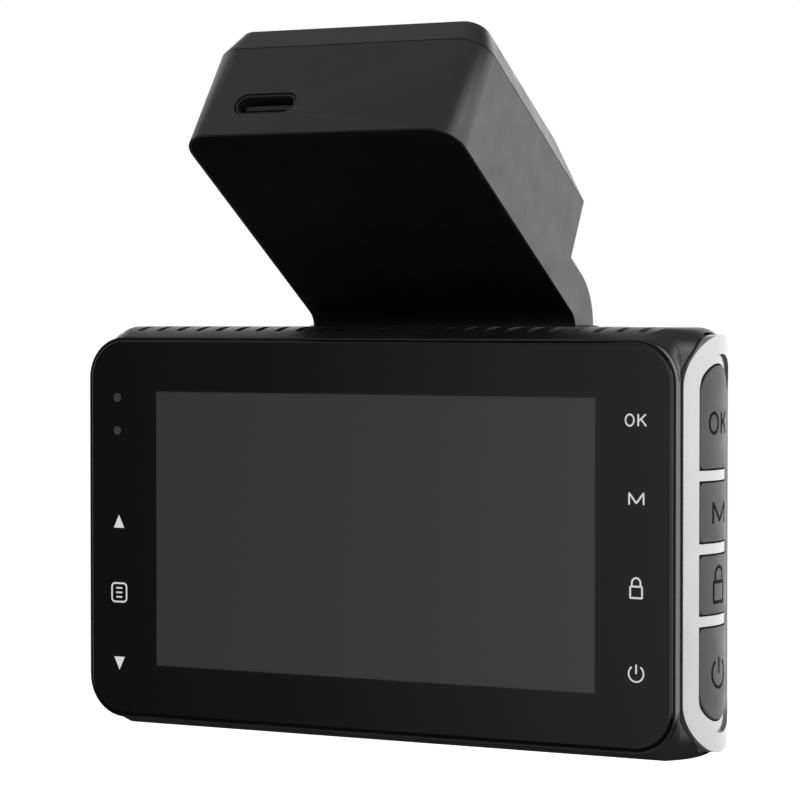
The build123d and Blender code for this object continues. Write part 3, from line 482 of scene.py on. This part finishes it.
def add_signs(materials):
    grey_glass, white, black = (materials[name] for name in ("lamp_window", "print_white", "mark_black"))
    for count, (x, z) in enumerate(LAMP_WINDOWS):
        place_sign(f"window_{count}", "dot", WINDOW_THICK, on_glass(x, z), grey_glass, "camera")
    for sign, (x, z) in GLASS_SIGNS.items():
        place_sign(f"print_{sign}", sign, PRINT_THICK, on_glass(x, z), white, "camera")
    for sign, (side, y, z) in KEY_SIGNS.items():
        place_sign(f"mark_{sign}", sign, MARK_THICK, on_key(side, y, z), black, f"{sign}_button")


# ---------------------------------------------------------------- edges

def round_edges(name, width):
    """Joins the node's loose corners and rounds its sharp edges."""
    obj = nodes[name]
    weld = obj.modifiers.new("weld", "WELD")
    weld.merge_threshold = 1e-6
    bevel = obj.modifiers.new("bevel", "BEVEL")
    bevel.width = width * MM
    bevel.segments = 3
    bevel.limit_method = "ANGLE"
    bevel.angle_limit = SHARP
    bevel.harden_normals = True
    bevel.use_clamp_overlap = True
    bevel.loop_slide = False


# ---------------------------------------------------------------- stage

def add_floor():
    """A pale floor below the object. It shines by itself, and polished parts don't mirror it."""
    z = cad_box[0].z - FLOOR_DROP
    corners = [(x * FLOOR_HALF, y * FLOOR_HALF, z) for x, y in ((-1, -1), (1, -1), (1, 1), (-1, 1))]
    floor_mesh = bpy.data.meshes.new("floor")
    floor_mesh.from_pydata(corners, [], [(0, 1, 2, 3)])
    floor = bpy.data.objects.new("floor", floor_mesh)
    link_to_scene(floor)
    pale = material("pale_floor", (0.5, 0.5, 0.5), 0.9, grain=2.0, depth=0, vary=0.01)
    shader_of(pale).inputs["Emission Color"].default_value = (1, 1, 1, 1)
    shader_of(pale).inputs["Emission Strength"].default_value = 1.0
    floor_mesh.materials.append(pale)
    floor.visible_glossy = False


def add_world():
    """Lights the object with the lobes, dimly everywhere else, and shows plain white behind it."""
    world = bpy.data.worlds.new("studio")
    bpy.context.scene.world = world
    world.use_nodes = True
    tree = world.node_tree
    lit = tree.nodes["Background"]
    lit.inputs["Color"].default_value = (1, 1, 1, 1)
    direction = add(tree, "ShaderNodeTexCoord").outputs["Generated"]
    split = add(tree, "ShaderNodeSeparateXYZ")
    link(tree, direction, split.inputs["Vector"])
    total = None
    for towards, start, end, bright, (fade, gone) in LOBES:
        facing = add(tree, "ShaderNodeVectorMath", operation="DOT_PRODUCT")
        link(tree, direction, facing.inputs[0])
        facing.inputs[1].default_value = Vector(towards).normalized()
        lobe = ranged(tree, facing.outputs["Value"], 0.0, bright, smooth=True, start=start, end=end)
        below = ranged(tree, split.outputs["Z"], 1.0, 0.0, True, fade, gone)
        lobe = math_node(tree, "MULTIPLY", lobe, below)
        total = math_node(tree, "ADD", lobe, DIM if total is None else total)
    ground = ranged(tree, split.outputs["Z"], 0.0, 1.0, True, *GROUND)
    link(tree, math_node(tree, "MULTIPLY", total, ground), lit.inputs["Strength"])
    pale = add(tree, "ShaderNodeBackground")
    pale.inputs["Color"].default_value = (1, 1, 1, 1)
    choose = add(tree, "ShaderNodeMixShader")
    link(tree, add(tree, "ShaderNodeLightPath").outputs["Is Camera Ray"], choose.inputs["Fac"])
    link(tree, lit.outputs["Background"], choose.inputs[1])
    link(tree, pale.outputs["Background"], choose.inputs[2])
    link(tree, choose.outputs["Shader"], tree.nodes["World Output"].inputs["Surface"])


def add_softbox(name, place, size, watts):
    light = bpy.data.lights.new(name, "AREA")
    light.shape = "RECTANGLE"
    light.size, light.size_y = size
    light.energy = watts
    obj = bpy.data.objects.new(name, light)
    obj.location = place
    aim = Vector((0, 0, MID_Z)) - Vector(place)
    obj.rotation_euler = aim.to_track_quat("-Z", "Y").to_euler()
    link_to_scene(obj)


def from_glass(place):
    """A point given in millimetres from the middle of the glass's face."""
    x, y, z = place
    return Vector((x * MM, FACE_Y + y * MM, MID_Z + z * MM))


def add_camera():
    camera = bpy.data.cameras.new("camera")
    camera.lens = CAMERA_LENS
    camera.sensor_width = 36.0
    camera.clip_start = 0.01
    camera.clip_end = 20.0
    obj = bpy.data.objects.new("camera", camera)
    obj.location = from_glass(CAMERA_PLACE)
    aim = from_glass(CAMERA_AIM) - obj.location
    obj.rotation_euler = aim.to_track_quat("-Z", "Y").to_euler()
    link_to_scene(obj)
    bpy.context.scene.camera = obj


def main():
    materials = make_materials()
    paint_nodes(materials)
    add_signs(materials)
    for name, width in EDGES.items():
        round_edges(name, width)
    add_floor()
    add_world()
    add_softbox("key_light", KEY_LIGHT_PLACE, KEY_LIGHT_SIZE, KEY_LIGHT_WATTS)
    add_camera()
    bpy.context.scene.view_settings.view_transform = "Standard"


main()
